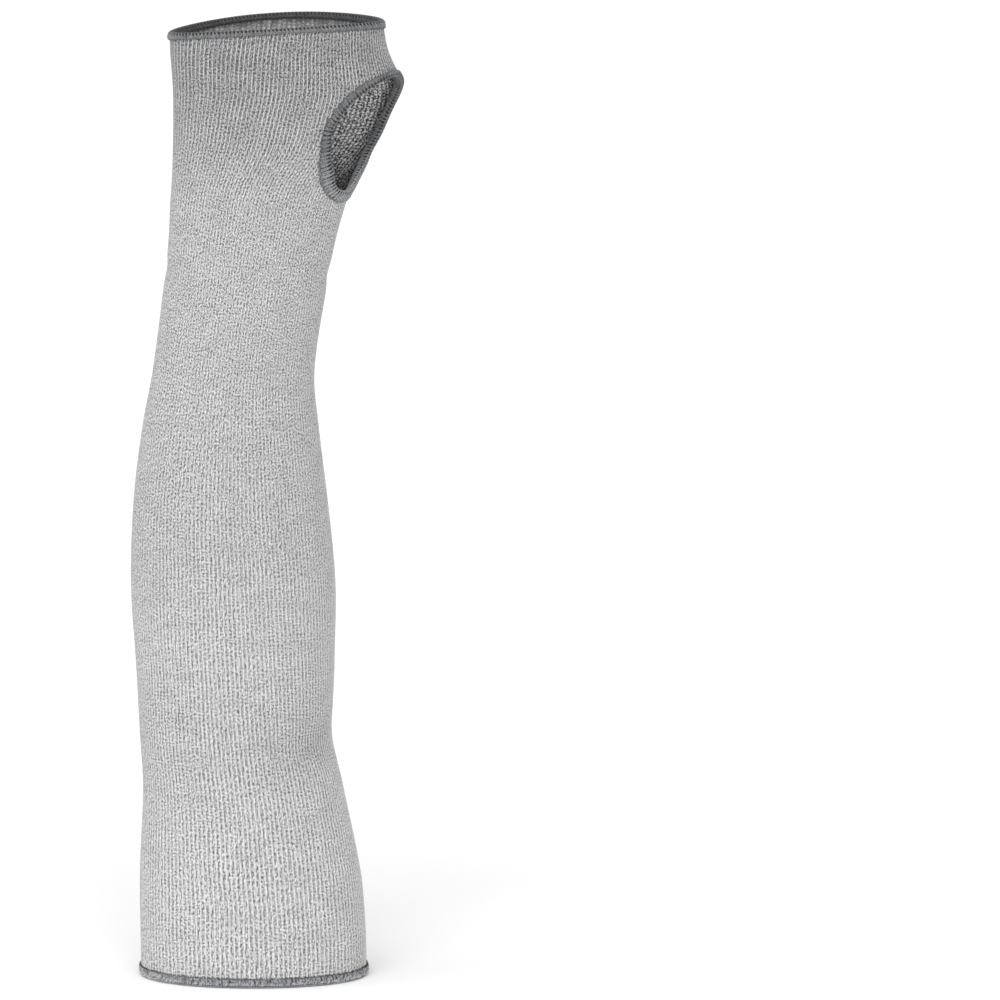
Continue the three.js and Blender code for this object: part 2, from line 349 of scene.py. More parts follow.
def dent_depth(around, heights):
    """How far the soft dents press the knit in, in mm."""
    levels, rows = np.unique(heights, return_inverse=True)
    girth = SleeveSections(levels).girth[rows]
    depth = np.zeros(len(around))
    for dent in DENTS:
        turn = around - dent.around
        across = (turn - np.round(turn)) * girth
        climb = heights - dent.height - dent.lean * across
        depth += dent.deep * np.exp(-((across / dent.wide) ** 2) - (climb / dent.tall) ** 2)
    return depth


def knit_points(around, heights, off):
    """Points at a distance off the outer face, in mm."""
    around = np.asarray(around, float).ravel()
    heights = np.asarray(heights, float).ravel()
    near = 1e-3
    along = plain_points(around + near, heights) - plain_points(around - near, heights)
    up = plain_points(around, heights + 1) - plain_points(around, heights - 1)
    normal = np.cross(along, up)
    normal /= np.linalg.norm(normal, axis=1, keepdims=True)
    distance = np.broadcast_to(np.asarray(off, float).ravel(), around.shape) - dent_depth(around, heights)
    return plain_points(around, heights) + normal * distance[:, None]


def thumb_hole_edge(steps_each=40):
    """Cut edge of the thumb hole laid flat, as a dense closed loop of toward, height and reach."""
    knots = np.array(THUMB_HOLE, float)
    loop = []
    for i in range(len(knots)):
        p0, p1, p2, p3 = (knots[(i + k) % len(knots)] for k in (-1, 0, 1, 2))
        d0, d1, d2 = (np.linalg.norm(b - a) ** 0.5 for a, b in ((p0, p1), (p1, p2), (p2, p3)))
        leave = ((p1 - p0) / d0 - (p2 - p0) / (d0 + d1) + (p2 - p1) / d1) * d1
        arrive = ((p2 - p1) / d1 - (p3 - p1) / (d1 + d2) + (p3 - p2) / d2) * d1
        t = np.linspace(0, 1, steps_each, endpoint=False)[:, None]
        loop.append(
            p1 + leave * t + (3 * (p2 - p1) - 2 * leave - arrive) * t**2
            + (2 * (p1 - p2) + leave + arrive) * t**3
        )
    return np.concatenate(loop)


def hole_spots(shares):
    """Rows of toward, height and reach at shares of the way round the thumb hole."""
    loop = thumb_hole_edge()
    closed = np.concatenate([loop, loop[:1]])
    lengths = np.concatenate([[0], np.linalg.norm(np.diff(closed, axis=0), axis=1).cumsum()])
    wanted = (shares % 1) * lengths[-1]
    return np.stack([np.interp(wanted, lengths, closed[:, k]) for k in range(3)], axis=1)


def hole_places(shares, inward):
    """Places on the sleeve at shares of the way round the thumb hole and distances into the knit."""
    flat = hole_spots(shares)
    tangent = hole_spots(shares + 0.004) - hole_spots(shares - 0.004)
    tangent /= np.linalg.norm(tangent, axis=1, keepdims=True)
    toward = flat[:, 0] + tangent[:, 1] * inward
    heights = flat[:, 1] - tangent[:, 0] * inward
    sections = SleeveSections(heights)
    return sections.thumb_side - toward / sections.girth, heights


def arm_places(shares, inward):
    """Places along the upper-arm edge."""
    return shares, SEAM_FOLD + inward


def hand_places(shares, inward):
    """Places along the hand edge."""
    return shares, LENGTH - SEAM_FOLD - inward


def seam_reach(node, shares):
    """How far a seam reaches into the knit at shares of the way along it, in mm."""
    if node == "thumb_hole_overlock":
        return hole_spots(shares)[:, 2]
    if node == "hand_edge_overlock":
        middle = np.abs(np.sin(2 * math.pi * shares))
        return HAND_SEAM_REACH + (HAND_SEAM_MIDDLE_REACH - HAND_SEAM_REACH) * middle
    return np.full(len(shares), ARM_SEAM_REACH)


PLACES = {
    "arm_edge_overlock": arm_places,
    "hand_edge_overlock": hand_places,
    "thumb_hole_overlock": hole_places,
}


# Meshes and nodes


def make_object(name, points, quads, uv_maps, materials, material_index):
    """Makes a smooth object of four-cornered faces, with points in mm and one UV pair per corner."""
    mesh = bpy.data.meshes.new(name)
    mesh.vertices.add(len(points))
    mesh.vertices.foreach_set("co", (points * MM).astype(np.float32).ravel())
    mesh.loops.add(quads.size)
    mesh.loops.foreach_set("vertex_index", quads.astype(np.int32).ravel())
    mesh.polygons.add(len(quads))
    mesh.polygons.foreach_set("loop_start", np.arange(0, quads.size, 4, dtype=np.int32))
    mesh.polygons.foreach_set("use_smooth", np.ones(len(quads), bool))
    for material in materials:
        mesh.materials.append(material)
    mesh.polygons.foreach_set("material_index", material_index.astype(np.int32))
    mesh.update(calc_edges=True)
    for map_name, pairs in uv_maps.items():
        layer = mesh.uv_layers.new(name=map_name)
        layer.data.foreach_set("uv", pairs.astype(np.float32).ravel())
    mesh.validate()
    piece = bpy.data.objects.new(name, mesh)
    bpy.context.scene.collection.objects.link(piece)
    return piece


def point_values(piece, name, values):
    """Keeps one number for each point of a piece, for its material."""
    attribute = piece.data.attributes.new(name, "FLOAT", "POINT")
    attribute.data.foreach_set("value", values.astype(np.float32).ravel())


def add(tree, kind, inputs=None, **settings):
    """Adds a node to a material with its settings, and links or sets its inputs."""
    node = tree.nodes.new("ShaderNode" + kind)
    for name, value in settings.items():
        setattr(node, name, value)
    for key, value in (inputs or {}).items():
        if isinstance(value, bpy.types.NodeSocket):
            tree.links.new(value, node.inputs[key])
        else:
            node.inputs[key].default_value = value
    return node


def maths(tree, operation, *values, **settings):
    """Adds a step of arithmetic to a material, and gives its result."""
    return add(tree, "Math", dict(enumerate(values)), operation=operation, **settings).outputs[0]


def flat_noise(tree, place, scale, detail, roughness=0.5):
    """Adds smooth random values over a flat pattern to a material."""
    inputs = {"Vector": place, "Scale": scale, "Detail": detail, "Roughness": roughness}
    return add(tree, "TexNoise", inputs, noise_dimensions="2D").outputs["Fac"]


def new_material(name):
    """A material with a bare principled shader."""
    material = bpy.data.materials.new(name)
    material.use_nodes = True
    tree = material.node_tree
    return material, tree, tree.nodes["Principled BSDF"]


def stitch_parts(tree, slant, wider=1.0):
    """Place across a wale and along a course, with the legs of each stitch slanted into a V."""
    place = add(tree, "UVMap", uv_map="Stitch").outputs["UV"]
    place = add(tree, "Mapping", {"Vector": place, "Scale": (1 / wider, 1.0, 1.0)}).outputs[0]
    sway = flat_noise(tree, place, 1 / SWAY_WALES, 1.0)
    shift = maths(tree, "MULTIPLY_ADD", sway, 0.5, -0.25)
    parts = add(tree, "SeparateXYZ", {"Vector": place})
    wale = maths(tree, "ADD", parts.outputs["X"], shift)
    across = maths(tree, "FRACT", wale)
    middle = maths(tree, "SUBTRACT", across, 0.5)
    away = maths(tree, "ABSOLUTE", middle)
    rise = parts.outputs["Y"]
    course = maths(tree, "MULTIPLY_ADD", away, slant, rise)
    along = maths(tree, "FRACT", course)
    return place, wale, across, course, along


def stitch_values(tree, wale, course):
    """A random value from 0 to 1 for each stitch."""
    x = maths(tree, "FLOOR", wale)
    y = maths(tree, "FLOOR", course)
    cell = add(tree, "CombineXYZ", {"X": x, "Y": y}).outputs[0]
    return add(tree, "TexWhiteNoise", {"Vector": cell}, noise_dimensions="2D").outputs["Value"]


def fibre_values(tree, wale, course):
    """Smooth random values from 0 to 1, in short streaks along the legs of the stitches."""
    x = maths(tree, "MULTIPLY", wale, FLECKS_ACROSS)
    y = maths(tree, "MULTIPLY", course, FLECKS_ALONG)
    place = add(tree, "CombineXYZ", {"X": x, "Y": y}).outputs[0]
    noise = flat_noise(tree, place, 1.0, 0.5, 0.6)
    return add(tree, "MapRange", {0: noise, 1: 0.38, 2: 0.62, 3: 0.0, 4: 1.0}).outputs[0]


def spot(tree, across, along, at, size):
    """A soft spot in each stitch: 1 in its middle and 0 outside it."""
    x = maths(tree, "SUBTRACT", across, at[0])
    y = maths(tree, "SUBTRACT", along, at[1])
    x = maths(tree, "DIVIDE", x, size[0])
    y = maths(tree, "DIVIDE", y, size[1])
    place = add(tree, "CombineXYZ", {"X": x, "Y": y}).outputs[0]
    far = add(tree, "VectorMath", {0: place}, operation="LENGTH").outputs["Value"]
    return add(
        tree, "MapRange", {0: far, 1: 0.4, 2: 1.1, 3: 1.0, 4: 0.0}, interpolation_type="SMOOTHSTEP"
    ).outputs[0]


def knit_face_material(settings):
    """Plain-knitted heather yarn, right side out: one leg of each stitch shows as a thin pale line of
    painted highlight, with dark gaps of painted shade and pale and dark specks of fibre between the lines,
    matt and a little hairy."""
    material, tree, shader = new_material("heather_plain_knit_face")
    leg_at, leg_lean, leg_half = 0.18, 0.14, 0.11
    gap_at, gap_size = (0.68, 0.5), (0.22, 0.34)
    place, wale, across, course, along = stitch_parts(tree, FACE_SLANT)
    tone, pale, rib, gap, fleck = (
        add(tree, "Attribute", attribute_name=name).outputs["Fac"] for name in KnitLook._fields[1:-1]
    )
    # Painted highlight: a pale line on the leg that faces the light, plainer in some patches of about 12 mm
    # than in others
    patch = flat_noise(tree, place, 1 / PATCH_WALES, 2.0)
    patch = add(tree, "MapRange", {0: patch, 1: 0.3, 2: 0.7, 3: 0.6, 4: 1.4}).outputs[0]
    strength = maths(tree, "MULTIPLY", rib, patch)
    leg = maths(tree, "MULTIPLY_ADD", along, leg_lean, leg_at)
    far = maths(tree, "SUBTRACT", across, leg)
    far = maths(tree, "ABSOLUTE", far)
    line = add(
        tree, "MapRange", {0: far, 1: 0.0, 2: leg_half, 3: 1.0, 4: -0.08}, interpolation_type="SMOOTHSTEP"
    ).outputs[0]
    pale = maths(tree, "MULTIPLY_ADD", patch, 0.06, pale)
    blend = maths(tree, "MULTIPLY_ADD", line, strength, pale)
    # Heather: pale and dark bundles of fibre along the legs, that leave the pale line clear
    speck = fibre_values(tree, wale, course)
    speck = maths(tree, "SUBTRACT", speck, 0.5)
    clear = add(tree, "MapRange", {0: far, 1: 0.06, 2: 0.2, 3: 0.15, 4: 1.0}).outputs[0]
    speck = maths(tree, "MULTIPLY", speck, clear)
    blend = maths(tree, "MULTIPLY_ADD", speck, fleck, blend)
    # Painted shade: a dark gap in the middle of each stitch, no two alike
    dark = spot(tree, across, along, gap_at, gap_size)
    chance = stitch_values(tree, wale, course)
    chance = maths(tree, "MULTIPLY_ADD", chance, 0.95, 0.05)
    dark = maths(tree, "MULTIPLY", dark, chance)
    dark = maths(tree, "MULTIPLY", dark, gap)
    blend = maths(tree, "SUBTRACT", blend, dark, use_clamp=True)
    knit = add(
        tree, "Mix", {0: blend, 6: settings.dark_fibre_and_gap_shade, 7: settings.pale_fibre_and_highlight}, data_type="RGBA"
    ).outputs[2]
    # The yarn's tone darkens the knit everywhere but on the painted highlight
    lit = maths(tree, "MULTIPLY", line, strength, use_clamp=True)
    tone = add(tree, "Mix", {0: lit, 2: tone, 3: 1.0}).outputs[0]
    toned = add(tree, "Mix", {0: 1.0, 6: knit, 7: tone}, data_type="RGBA", blend_type="MULTIPLY").outputs[2]
    bump = add(tree, "Bump", {"Height": blend, "Strength": 0.2, "Distance": 0.2 * MM}).outputs[0]
    rough = add(tree, "MapRange", {0: blend, 1: 0.0, 2: 1.0, 3: 0.98, 4: 0.84}).outputs[0]
    tree.links.new(toned, shader.inputs["Base Color"])
    tree.links.new(bump, shader.inputs["Normal"])
    tree.links.new(rough, shader.inputs["Roughness"])
    shader.inputs["IOR"].default_value = 1.5
    shader.inputs["Specular IOR Level"].default_value = 0.25
    shader.inputs["Sheen Weight"].default_value = 0.2
    shader.inputs["Sheen Roughness"].default_value = 0.5
    return material


def knit_back_material(settings):
    """The same knit seen from inside: short pale bars of yarn stacked in columns, with dark gaps of painted
    shade between. The columns are drawn a quarter wider than the wales, so that they show."""
    material, tree, shader = new_material("heather_plain_knit_back")
    bar_at, bar_size = (0.5, 0.5), (0.36, 0.46)
    wale, across, course = stitch_parts(tree, BACK_SLANT, BACK_WIDER)[1:4]
    # tone carries the painted shade and light inside the sleeve
    tone = add(tree, "Attribute", attribute_name="tone").outputs["Fac"]
    contrast = add(tree, "Attribute", attribute_name="gap").outputs["Fac"]
    # One bar to each stitch, no two alike, and each column of them at its own height
    number = maths(tree, "FLOOR", wale)
    shift = add(tree, "TexWhiteNoise", {"W": number}, noise_dimensions="1D").outputs["Value"]
    course = maths(tree, "ADD", course, shift)
    along = maths(tree, "FRACT", course)
    bar = spot(tree, across, along, bar_at, bar_size)
    chance = stitch_values(tree, wale, course)
    chance = maths(tree, "MULTIPLY_ADD", chance, 1.7, 0.2)
    speck = fibre_values(tree, wale, course)
    blend = maths(tree, "MULTIPLY_ADD", speck, 1.2, -0.95)
    blend = maths(tree, "MULTIPLY_ADD", bar, chance, blend)
    blend = maths(tree, "MULTIPLY_ADD", blend, contrast, 0.47, use_clamp=True)
    # The gaps between the bars are a deeper painted shade
    low = [0.25 * part for part in settings.dark_fibre_and_gap_shade[:3]] + [1.0]
    knit = add(tree, "Mix", {0: blend, 6: low, 7: settings.pale_fibre_and_highlight}, data_type="RGBA").outputs[2]
    toned = add(tree, "Mix", {0: 1.0, 6: knit, 7: tone}, data_type="RGBA", blend_type="MULTIPLY").outputs[2]
    bump = add(tree, "Bump", {"Height": blend, "Strength": 0.6, "Distance": 0.4 * MM}).outputs[0]
    tree.links.new(toned, shader.inputs["Base Color"])
    tree.links.new(bump, shader.inputs["Normal"])
    shader.inputs["Roughness"].default_value = 0.92
    shader.inputs["IOR"].default_value = 1.5
    shader.inputs["Specular IOR Level"].default_value = 0.2
    return material


def thread_material(settings):
    """Bulked polyester overlock thread: crimped filaments in several greys that blend into a fine stipple,
    matt with a faint gleam."""
    material, tree, shader = new_material("bulked_polyester_thread")
    place = add(tree, "UVMap", uv_map="Thread").outputs["UV"]
    tone = add(tree, "Attribute", attribute_name="tone").outputs["Fac"]
    grain = add(tree, "Mapping", {"Vector": place, "Scale": (1.0, 1.2, 1.0)}).outputs[0]
    fibre = flat_noise(tree, grain, 1.0, 2.0, 0.6)
    colour = add(tree, "ValToRGB", {"Fac": fibre})
    ramp = colour.color_ramp
    ramp.elements[0].position = 0.38
    ramp.elements[0].color = settings.shade
    ramp.elements[1].position = 0.5
    ramp.elements[1].color = settings.thread
    bright = ramp.elements.new(0.62)
    bright.color = [1.7 * part for part in settings.thread[:3]] + [1.0]
    toned = add(
        tree, "Mix", {0: 1.0, 6: colour.outputs["Color"], 7: tone}, data_type="RGBA", blend_type="MULTIPLY"
    ).outputs[2]
    bump = add(tree, "Bump", {"Height": fibre, "Strength": 0.5, "Distance": 0.15 * MM}).outputs[0]
    rough = add(tree, "MapRange", {0: fibre, 1: 0.2, 2: 0.8, 3: 0.9, 4: 0.7}).outputs[0]
    tree.links.new(toned, shader.inputs["Base Color"])
    tree.links.new(bump, shader.inputs["Normal"])
    tree.links.new(rough, shader.inputs["Roughness"])
    shader.inputs["IOR"].default_value = 1.54
    shader.inputs["Specular IOR Level"].default_value = 0.3
    shader.inputs["Sheen Weight"].default_value = 0.15
    return material


def seam_bed_material(settings):
    """Packed lower threads of the seam, whose deep grey is painted shade in the gaps between its turns,
    with a grain of about half a millimetre."""
    material, tree, shader = new_material("packed_thread_and_gap_shade")
    place = add(tree, "UVMap", uv_map="Thread").outputs["UV"]
    grain = flat_noise(tree, place, 1.6, 3.0, 0.7)
    low = [0.3 * part for part in settings.shade[:3]] + [1.0]
    colour = add(tree, "Mix", {0: grain, 6: low, 7: settings.shade}, data_type="RGBA").outputs[2]
    bump = add(tree, "Bump", {"Height": grain, "Strength": 0.6, "Distance": 0.15 * MM}).outputs[0]
    tree.links.new(colour, shader.inputs["Base Color"])
    tree.links.new(bump, shader.inputs["Normal"])
    shader.inputs["Roughness"].default_value = 0.95
    shader.inputs["Specular IOR Level"].default_value = 0.15
    return material


def floor_material(settings):
    """Matt paper floor: nearly white, with faint clouds about 300 mm across."""
    material, tree, shader = new_material("matt_white_paper")
    place = add(tree, "TexCoord").outputs["Object"]
    cloud = add(tree, "TexNoise", {"Vector": place, "Scale": 3.0, "Detail": 2.0}).outputs["Fac"]
    shade = [0.985 * part for part in settings.floor[:3]] + [1.0]
    colour = add(tree, "Mix", {0: cloud, 6: shade, 7: settings.floor}, data_type="RGBA").outputs[2]
    tree.links.new(colour, shader.inputs["Base Color"])
    shader.inputs["Roughness"].default_value = 0.9
    shader.inputs["Specular IOR Level"].default_value = 0.1
    return material


# The knit


def hole_distance(around, heights):
    """Distance of places on the sleeve from the thumb hole's cut edge, less than 0 inside the hole."""
    levels, rows = np.unique(heights, return_inverse=True)
    sections = SleeveSections(levels)
    turn = sections.thumb_side[rows] - around
    toward = (turn - np.round(turn)) * sections.girth[rows]
    loop = thumb_hole_edge(10)[:, :2]
    far = np.full(len(around), 99.0)
    close = (np.abs(toward) < 60) & (heights > 360) & (heights < 445)
    spots = np.stack([toward[close], heights[close]], axis=1)
    start, end = loop, np.roll(loop, -1, axis=0)
    step = end - start
    rel = spots[:, None] - start[None]
    share = np.clip((rel * step).sum(2) / (step * step).sum(1), 0, 1)
    gap = np.linalg.norm(rel - share[:, :, None] * step, axis=2).min(axis=1)
    crosses = (start[:, 1] > spots[:, 1, None]) != (end[:, 1] > spots[:, 1, None])
    rise = np.where(step[:, 1] == 0, 1e-9, step[:, 1])
    meets = start[:, 0] + (spots[:, 1, None] - start[:, 1]) * step[:, 0] / rise
    inside = (crosses & (spots[:, 0, None] < meets)).sum(axis=1) % 2 == 1
    far[close] = np.where(inside, -gap, gap)
    return far


def closed_shell(faces, count):
    """Faces of a shell: an outer skin, the same skin turned inward, and strips that join their rims."""
    edges = np.concatenate([faces[:, [i, (i + 1) % 4]] for i in range(4)])
    known = set(map(tuple, edges))
    rim = np.array([edge for edge in map(tuple, edges) if edge[::-1] not in known])
    strips = np.stack([rim[:, 1], rim[:, 0], rim[:, 0] + count, rim[:, 1] + count], axis=1)
    return faces, faces[:, ::-1] + count, strips


def meet_hole(around, heights, gap):
    """Moves places near the thumb hole to a distance from its cut edge."""
    levels, rows = np.unique(heights, return_inverse=True)
    sections = SleeveSections(levels)
    toward = (sections.thumb_side[rows] - around) * sections.girth[rows]
    steps = 900
    edge = hole_spots(np.arange(steps) / steps)[:, :2]
    spots = np.stack([toward, heights], axis=1)
    nearest = np.linalg.norm(spots[:, None] - edge[None], axis=2).argmin(axis=1)
    return hole_places(nearest / steps, np.full(len(nearest), gap))


class SLEEVE_OT_knit(bpy.types.Operator):
    """Knits the seamless tube with its thumb hole, as a thin closed shell with a rib for each wale"""

    bl_idname = "sleeve.knit"
    bl_label = "Knit tube"

    def execute(self, context):
        settings = context.scene.sleeve_knit
        columns = settings.wales * 2
        wrist, top = 368, LENGTH - SEAM_FOLD
        arm_rows = np.arange(SEAM_FOLD, wrist, settings.arm_step / MM)
        hand_rows = np.linspace(wrist, top, round((top - wrist) * MM / settings.hand_step) + 1)
        heights = np.concatenate([arm_rows, hand_rows])
        around = np.tile(np.arange(columns) / columns, len(heights))
        level = np.repeat(heights, columns)
        around += column(KNIT_LOOKS, "lean", level) * np.sin(2 * math.pi * around)
        row, spot = np.meshgrid(np.arange(len(heights) - 1), np.arange(columns), indexing="ij")
        row, spot = row.ravel(), spot.ravel()
        after = (spot + 1) % columns
        low, high = row * columns, (row + 1) * columns
        faces = np.stack([low + spot, low + after, high + after, high + spot], axis=1)
        # Cut the thumb hole out, and draw the rim it leaves onto the cut edge
        cut_gap = 0.3
        kept = (hole_distance(around, level)[faces] > cut_gap).all(axis=1)
        rim = np.intersect1d(faces[kept], faces[~kept])
        if not len(rim):
            raise RuntimeError("the thumb hole cuts no face of the knit")
        plain_around = around[rim]
        around[rim], level[rim] = meet_hole(around[rim], level[rim], cut_gap)
        wale = np.tile(np.arange(columns) / 2, len(heights))
        wale[rim] += (around[rim] - plain_around) * settings.wales
        faces, last_column = faces[kept], spot[kept] == columns - 1

        knit_look = {name: column(KNIT_LOOKS, name, level) for name in KnitLook._fields[1:-1]}
        # Painted shade in the soft dents: the knit is darker where they press it in
        knit_look["tone"] *= 1 - 0.05 * dent_depth(around, level)
        from_hole = hole_distance(around, level)
        from_edge = np.minimum(from_hole, np.minimum(level, LENGTH - level) - SEAM_FOLD)
        plain_edge, fade = 2, 2
        ridge = np.tile(np.arange(columns) % 2, len(heights)) - 0.5
        ridge = ridge * settings.rib / MM * np.clip((from_edge - plain_edge) / fade, 0, 1)
        outer = knit_points(around, level, ridge)
        inner = knit_points(around, level, -settings.wall / MM)
        # Inside, painted shade darkens the knit next to the seams, below the hole and along the hand edge,
        # where its border is ragged, and painted light lifts it a little far from the hole; the knit is
        # also blurred by its own fuzz at the hand edge
        ragged = np.repeat(np.random.default_rng(5).normal(0, 0.9, settings.wales), 2)
        from_top = LENGTH - level + np.tile(ragged, len(heights))
        shade = np.interp(from_hole, [3, 10], [0.2, 1.15]) * np.interp(level, [374, 394], [0.2, 1.0])
        inside = {
            "tone": shade * np.interp(from_top, [3.5, 6, 14, 22], [0.35, 0.7, 0.7, 1.0]),
            "pale": knit_look["pale"],
            "rib": knit_look["rib"],
            "gap": np.interp(level, [436, 446], [1.8, 0.25]),
            "fleck": knit_look["fleck"],
        }
        skin, back, strips = closed_shell(faces, len(outer))
        wale = wale[faces]
        wale[:, 1:3] += settings.wales * last_column[:, None]
        course = level[faces] * MM / settings.course
        stitch = np.stack([wale, course], axis=2)
        tall = LENGTH * MM / settings.course
        bake = np.stack([0.01 + 0.48 * wale / settings.wales, 0.01 + 0.98 * course / tall], axis=2)
        uv_maps = {
            "OFBake": np.concatenate([bake, bake[:, ::-1] + [0.5, 0], np.full((len(strips), 4, 2), 0.5)]),
            "Stitch": np.concatenate([stitch, stitch[:, ::-1], np.zeros((len(strips), 4, 2))]),
        }
        quads = np.concatenate([skin, back, strips])
        index = np.repeat([0, 1, 1], [len(skin), len(back), len(strips)])
        materials = [knit_face_material(settings), knit_back_material(settings)]
        points = np.concatenate([outer, inner])
        piece = make_object("heather_knit_tube", points, quads, uv_maps, materials, index)
        for name, values in knit_look.items():
            point_values(piece, name, np.concatenate([values, inside[name]]))
        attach(piece, "root")
        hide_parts("knit_tube")
        girths = SleeveSections(np.linspace(0, LENGTH, 60)).girth
        return {"FINISHED"}


# The overlock seams


def seam_route():
    """Way of one turn of thread, from the needle line on the outer face over the cut edge to the inner one.
    Columns: share of the seam's reach and what is added to it, height off the outer face, and shares of the
    thread's width and thickness, in mm."""
    wall = bpy.context.scene.sleeve_knit.wall / MM
    top = SEAM_GAP + SEAM_PILE / 2
    half = [
        (1.0, 0.15, 0.0, 0.45, 0.35),
        (1.0, -0.25, top - 0.15, 0.9, 0.85),
        (0.72, 0.0, top, 1.0, 1.0),
        (0.44, 0.0, top + 0.03, 1.0, 1.0),
        (0.22, 0.0, top, 0.88, 0.95),
        (0.0, 0.05, top - 0.05, 0.5, 0.85),
        (0.0, -0.4, top - 0.25, 0.45, 0.8),
        (0.0, -0.7, -0.1, 0.55, 0.75),
    ]
    back = [(share, past, -wall - off, width, thick) for share, past, off, width, thick in half[::-1]]
    return np.array(half + [(0.0, -0.74, -wall / 2, 0.7, 0.8)] + back)


def thread_tubes(paths, sides, widths, thicknesses, crimp):
    """Tubes of an oval section along rows of points. sides is the way across each thread."""
    ahead = np.gradient(paths, axis=1)
    ahead /= np.linalg.norm(ahead, axis=2, keepdims=True)
    sides = sides - (sides * ahead).sum(2, keepdims=True) * ahead
    sides /= np.linalg.norm(sides, axis=2, keepdims=True)
    ups = np.cross(ahead, sides)
    angle = np.arange(THREAD_SIDES) / THREAD_SIDES * 2 * math.pi
    flat = np.cos(angle)[None, None, :, None] * sides[:, :, None] * (widths / 2)[:, :, None, None]
    tall = np.sin(angle)[None, None, :, None] * ups[:, :, None] * (thicknesses / 2)[:, :, None, None]
    points = paths[:, :, None] + flat + tall
    threads, steps = paths.shape[:2]
    t, s, r = np.meshgrid(np.arange(threads), np.arange(steps - 1), np.arange(THREAD_SIDES), indexing="ij")
    t, s, r = t.ravel(), s.ravel(), r.ravel()
    after = (r + 1) % THREAD_SIDES
    base = (t * steps + s) * THREAD_SIDES
    beyond = base + THREAD_SIDES
    quads = np.stack([base + r, base + after, beyond + after, beyond + r], axis=1)
    across = np.stack([r, r + 1, r + 1, r], axis=1) / THREAD_SIDES
    along = np.stack([s, s, s + 1, s + 1], axis=1) / (steps - 1)
    # Each thread has a cell of the bake map, and its own stretch of filaments
    t = t[:, None]
    cells = math.ceil(math.sqrt(threads))
    margin, apart = 0.05, 7.3
    room = 1 - 2 * margin
    bake = np.stack([t % cells + margin + room * across, t // cells + margin + room * along], axis=2)
    length = np.linalg.norm(np.diff(paths, axis=1), axis=2).sum(axis=1)
    girth = widths.max() * 2.6
    thread = np.stack([along * length[t] + apart * t, across * girth], axis=2)
    return points.reshape(-1, 3), quads, bake / cells, thread / crimp


def seam_bed(node, steps, wall):
    """Closed band under the turns of thread, a little slimmer than them."""
    slim = SEAM_GAP + 0.42 * SEAM_PILE
    near = 0.12
    profile = np.array([
        (1, -0.5, near), (1, -0.7, slim), (0, 0.0, slim), (0, -slim, slim - 0.4),
        (0, -slim, -wall - slim + 0.4), (0, 0.0, -wall - slim), (1, -0.7, -wall - slim),
        (1, -0.5, -wall - near), (0, -near, -wall - near), (0, -near, near),
    ])
    many = len(profile)
    shares = np.repeat(np.arange(steps) / steps, many)
    share, past, off = np.tile(profile, (steps, 1)).T
    inward = share * seam_reach(node, shares) + past
    points = knit_points(*PLACES[node](shares, inward), off)
    s, p = np.meshgrid(np.arange(steps), np.arange(many), indexing="ij")
    s, p = s.ravel(), p.ravel()
    next_s, next_p = (s + 1) % steps, (p + 1) % many
    quads = np.stack([s * many + p, s * many + next_p, next_s * many + next_p, next_s * many + p], axis=1)
    along = np.stack([s, s, s + 1, s + 1], axis=1)
    across = np.stack([p, p + 1, p + 1, p], axis=1)
    bake = np.stack([across / many, along / steps], axis=2)
    return points, quads, bake, np.stack([along * 1.2, across * 1.0], axis=2)


def seam_painted_light(node, shares):
    """Painted light on a seam's threads along it: the thumb hole's are lighter at its bottom, which faces
    up, and darker higher up.
    """
    if node == "thumb_hole_overlock":
        return np.interp(hole_spots(shares)[:, 1], [378, 398], [1.7, 0.9])
    return np.ones(len(shares))


def seam_paths(node, shares, inward, off):
    """Rows of points along threads of a seam, and the way along the edge at each of them."""
    place = PLACES[node]
    paths = knit_points(*place(shares.ravel(), inward.ravel()), off.ravel())
    ahead = knit_points(*place(shares.ravel() + 0.002, inward.ravel()), off.ravel())
    return paths.reshape(*shares.shape, 3), (ahead - paths).reshape(*shares.shape, 3)


